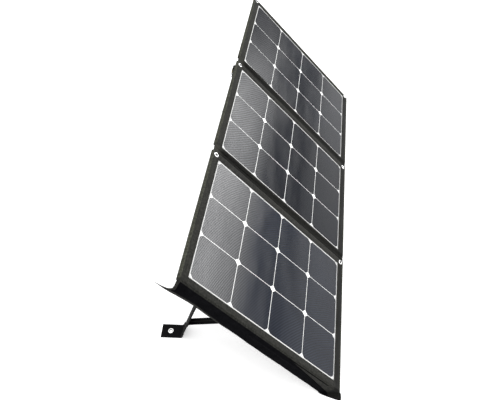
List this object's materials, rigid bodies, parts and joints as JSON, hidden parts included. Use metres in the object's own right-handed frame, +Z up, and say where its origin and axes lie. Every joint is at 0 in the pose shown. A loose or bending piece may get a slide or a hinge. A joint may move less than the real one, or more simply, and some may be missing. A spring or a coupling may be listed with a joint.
{
  "type": "folding solar panel",
  "caption": "Portable folding solar panel: three cloth-bound panels of square cells, hinged in a row and standing on folding legs with eyelets for cords and pegs.",
  "frame": {"origin": "on the ground under the middle of the object's box", "axes": "+Z up, X along the row of panels with the flap at -X, +Y backwards: the cells face -Y and up"},
  "size_m": [1.3132, 0.5018, 0.4404],
  "materials": {
    "border_cloth": "woven, matt",
    "back_cloth": "woven, matt",
    "binding_tape": "ribbed tape",
    "flap_strip": "hook-and-loop pile",
    "webbing": "woven webbing",
    "board": "plain board",
    "backsheet": "white sheet",
    "encapsulant": "clear resin",
    "cell": "dark silicon, fine texture",
    "link": "tinned copper",
    "film": "clear textured film",
    "eyelet_silver": "nickel plated",
    "eyelet_brass": "dull brass",
    "leg_strip": "stiff strip",
    "zip": "nylon coil",
    "zip_metal": "dark plated",
    "box_plastic": "moulded",
    "screw_steel": "zinc plated",
    "diode": "moulded"
  },
  "bodies": {
    "mid_panel": {"mid_front_frame": "border_cloth", "mid_back_cover": "back_cloth", "mid_edge_binding": "binding_tape", "mid_core_board": "board", "mid_backsheet": "backsheet", "mid_encapsulant": "encapsulant", "mid_cells": "cell", "mid_cell_links": "link", "mid_front_film": "film", "mid_eyelets": "eyelet_silver", "near_fold_web": "border_cloth", "far_fold_web": "border_cloth", "cable_pouch": "back_cloth", "zip_tape": "zip", "junction_box": "box_plastic", "junction_lid": "box_plastic", "lid_screws": "screw_steel", "bypass_diodes": "diode", "cable_gland": "box_plastic", "hang_patch": "back_cloth"},
    "near_panel": {"near_front_frame": "border_cloth", "near_back_cover": "back_cloth", "near_edge_binding": "binding_tape", "near_core_board": "board", "near_backsheet": "backsheet", "near_encapsulant": "encapsulant", "near_cells": "cell", "near_cell_links": "link", "near_front_film": "film", "near_eyelets": "eyelet_silver", "near_leg_patch": "back_cloth", "near_leg_tape": "webbing", "near_tether_strap": "webbing"},
    "far_panel": {"far_front_frame": "border_cloth", "far_back_cover": "back_cloth", "far_edge_binding": "binding_tape", "far_core_board": "board", "far_backsheet": "backsheet", "far_encapsulant": "encapsulant", "far_cells": "cell", "far_cell_links": "link", "far_front_film": "film", "far_eyelets": "eyelet_silver", "far_leg_patch": "back_cloth", "far_leg_tape": "webbing", "far_tether_strap": "webbing"},
    "end_flap": {"flap_cloth": "border_cloth", "flap_strip": "flap_strip"},
    "near_leg": {"near_leg_cover": "webbing", "near_leg_strip": "leg_strip"},
    "far_leg": {"far_leg_cover": "webbing", "far_leg_strip": "leg_strip"},
    "near_foot": {"near_foot_tab": "webbing", "near_foot_eyelet": "eyelet_silver"},
    "far_foot": {"far_foot_tab": "webbing", "far_foot_eyelet": "eyelet_silver"},
    "slider": {"zip_slider": "zip_metal"},
    "pull": {"zip_pull": "zip_metal"},
    "upper_tab": {"hang_tab": "webbing", "hang_eyelet": "eyelet_brass"}
  },
  "joints": [
    {"name": "near_fold", "type": "hinge", "parent": "mid_panel", "child": "near_panel", "pos_m": [-0.20917, -0.0689, 0.22041], "axis": [0, 0.6691, 0.7431], "range_deg": [0, 179.5], "deforming": ["near_fold_web"]},
    {"name": "far_fold", "type": "hinge", "parent": "mid_panel", "child": "far_panel", "pos_m": [0.23123, -0.06333, 0.21539], "axis": [0, -0.6691, -0.7431], "range_deg": [0, 179.5], "deforming": ["far_fold_web"]},
    {"name": "flap_hinge", "type": "hinge", "parent": "near_panel", "child": "end_flap", "pos_m": [-0.65417, -0.06258, 0.21472], "axis": [0, 0.6691, 0.7431], "range_deg": [0, 179.5]},
    {"name": "near_leg_stow", "type": "hinge", "parent": "near_panel", "child": "near_leg", "pos_m": [-0.52018, 0.06626, 0.34092], "axis": [-1, 0, 0], "range_deg": [0, 61.77], "deforming": ["near_tether_strap", "near_leg_tape"]},
    {"name": "near_foot_turn", "type": "hinge", "parent": "near_leg", "child": "near_foot", "pos_m": [-0.52018, 0.18809, 0.002], "axis": [-1, 0, 0], "range_deg": [-60, 70.23]},
    {"name": "far_leg_stow", "type": "hinge", "parent": "far_panel", "child": "far_leg", "pos_m": [0.52663, 0.06626, 0.34092], "axis": [-1, 0, 0], "range_deg": [0, 61.77], "deforming": ["far_tether_strap", "far_leg_tape"]},
    {"name": "far_foot_turn", "type": "hinge", "parent": "far_leg", "child": "far_foot", "pos_m": [0.52663, 0.18809, 0.002], "axis": [-1, 0, 0], "range_deg": [-60, 70.23]},
    {"name": "zip_slide", "type": "slide", "parent": "mid_panel", "child": "slider", "axis": [1, 0, 0], "range_m": [0, 0.196]},
    {"name": "pull_swing", "type": "hinge", "parent": "slider", "child": "pull", "pos_m": [-0.09477, -0.02208, 0.21054], "axis": [-1, 0, 0], "range_deg": [-30, 50]},
    {"name": "tab_swing", "type": "hinge", "parent": "mid_panel", "child": "upper_tab", "pos_m": [0.18623, 0.1361, 0.41879], "axis": [-1, 0, 0], "range_deg": [-120, 38]}
  ]
}
